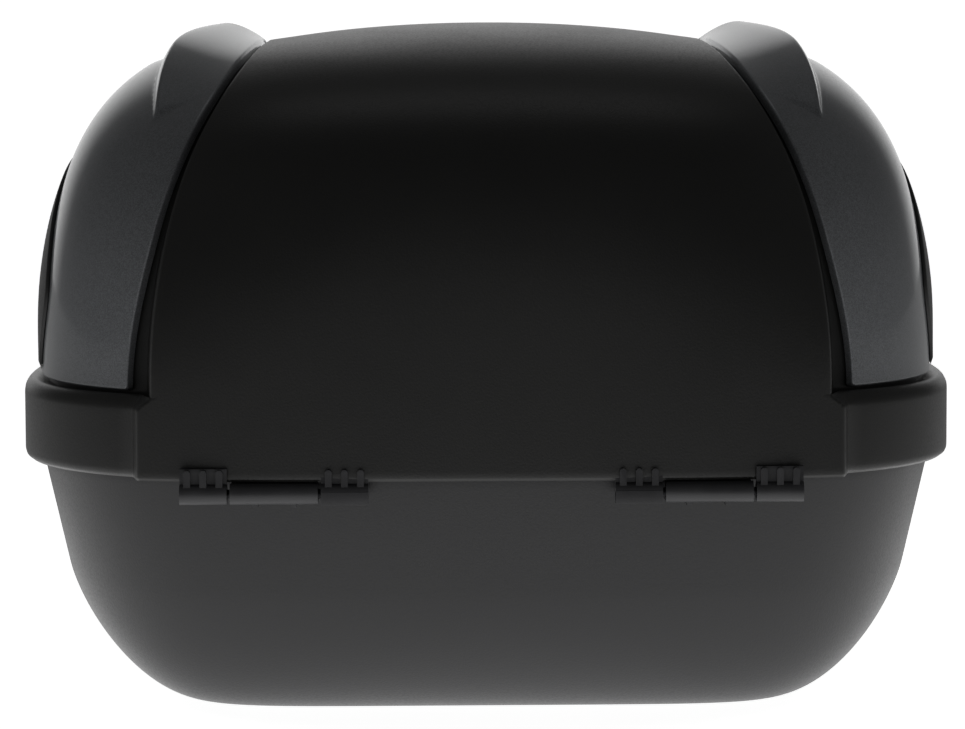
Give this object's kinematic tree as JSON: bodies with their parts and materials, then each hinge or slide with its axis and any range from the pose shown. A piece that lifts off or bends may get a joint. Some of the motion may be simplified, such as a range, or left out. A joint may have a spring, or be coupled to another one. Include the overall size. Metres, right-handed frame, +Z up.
{
  "type": "motorcycle top case",
  "caption": "Rounded motorcycle top case: lower shell, hinged lid with two raised painted side wings, cam lock and carrier release at the rear.",
  "frame": {"origin": "centre of the case's outline, on the plane its rubber feet stand on", "axes": "+X across the case, +Y towards the lock side (the hinge side faces -Y), +Z up"},
  "size_m": [0.44, 0.422, 0.3157],
  "materials": {
    "black_plastic": "fine grained",
    "dark_plastic": "smooth satin",
    "paint": "metallic grey under clear coat",
    "pad_plastic": "fine grained",
    "rubber": "matte",
    "mat": "ribbed matte",
    "steel": "zinc plated",
    "chrome": "polished",
    "red_button": "satin red",
    "reflector": "clear red, prismatic"
  },
  "bodies": {
    "case_base": {"lower_shell": "black_plastic", "base_feet": "rubber", "rim_seal": "rubber", "floor_mat": "mat", "hinge_base_left": "dark_plastic", "hinge_base_right": "dark_plastic", "hinge_pin_left": "steel", "hinge_pin_right": "steel", "lock_housing": "dark_plastic", "key_collar": "chrome", "release_springs": "steel", "latch_cover": "dark_plastic", "cover_screws": "steel"},
    "key": {"key_barrel": "steel", "lock_cam": "steel", "cam_nut": "steel"},
    "release": {"release_button": "red_button", "release_slider": "steel"},
    "lid": {"lid_shell": "black_plastic", "wing_left": "paint", "wing_right": "paint", "side_pad_left": "pad_plastic", "side_pad_right": "pad_plastic", "wing_screws": "steel", "hinge_lid_left": "dark_plastic", "hinge_lid_right": "dark_plastic", "striker": "steel", "striker_screws": "steel", "reflector_left": "reflector", "reflector_right": "reflector"}
  },
  "joints": [
    {"name": "lid_hinge", "type": "hinge", "parent": "case_base", "child": "lid", "pos_m": [0, -0.2063, 0.10825], "axis": [1, 0, 0], "range_deg": [0, 80]},
    {"name": "key_turn", "type": "hinge", "parent": "case_base", "child": "key", "pos_m": [0, 0.2, 0.093], "axis": [0, 1, 0], "range_deg": [0, 90]},
    {"name": "release_press", "type": "slide", "parent": "case_base", "child": "release", "axis": [0, -1, 0], "range_m": [0, 0.006], "stiffness_N_per_m": 800, "springref_m": -0.003, "deforming": ["release_springs"]}
  ]
}
